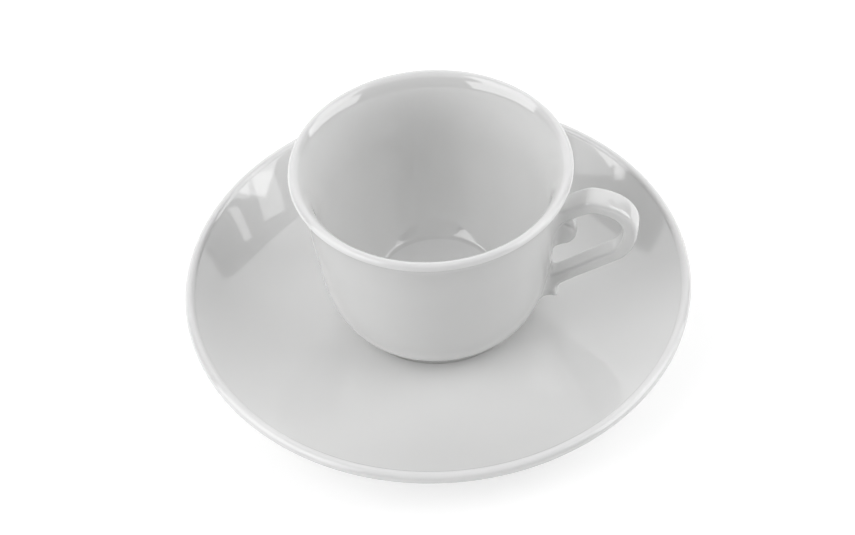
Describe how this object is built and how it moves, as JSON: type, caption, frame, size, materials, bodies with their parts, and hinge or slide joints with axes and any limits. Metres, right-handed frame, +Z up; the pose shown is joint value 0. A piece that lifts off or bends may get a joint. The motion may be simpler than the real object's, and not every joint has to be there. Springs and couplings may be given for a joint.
{
  "type": "cup with saucer",
  "caption": "White glazed porcelain coffee cup with a flared lip and an ear-shaped scroll handle, standing on a shallow round saucer that it lifts off.",
  "frame": {"origin": "middle of the saucer's foot ring, on the standing face", "axes": "+Z up along the cup's and saucer's common axis, +X from that axis towards the handle"},
  "size_m": [0.15, 0.15, 0.0649],
  "materials": {
    "glaze": "clear gloss glaze over white porcelain",
    "bare_clay": "unglazed, ground smooth, matte"
  },
  "bodies": {
    "saucer": {"saucer_dish": "glaze", "saucer_foot_ring": "bare_clay"},
    "cup": {"cup_bowl": "glaze", "cup_foot_ring": "bare_clay", "cup_handle": "glaze"}
  },
  "joints": [
    {"name": "cup_lift", "type": "slide", "parent": "saucer", "child": "cup", "axis": [0, 0, 1], "range_m": [0, 0.08]}
  ]
}
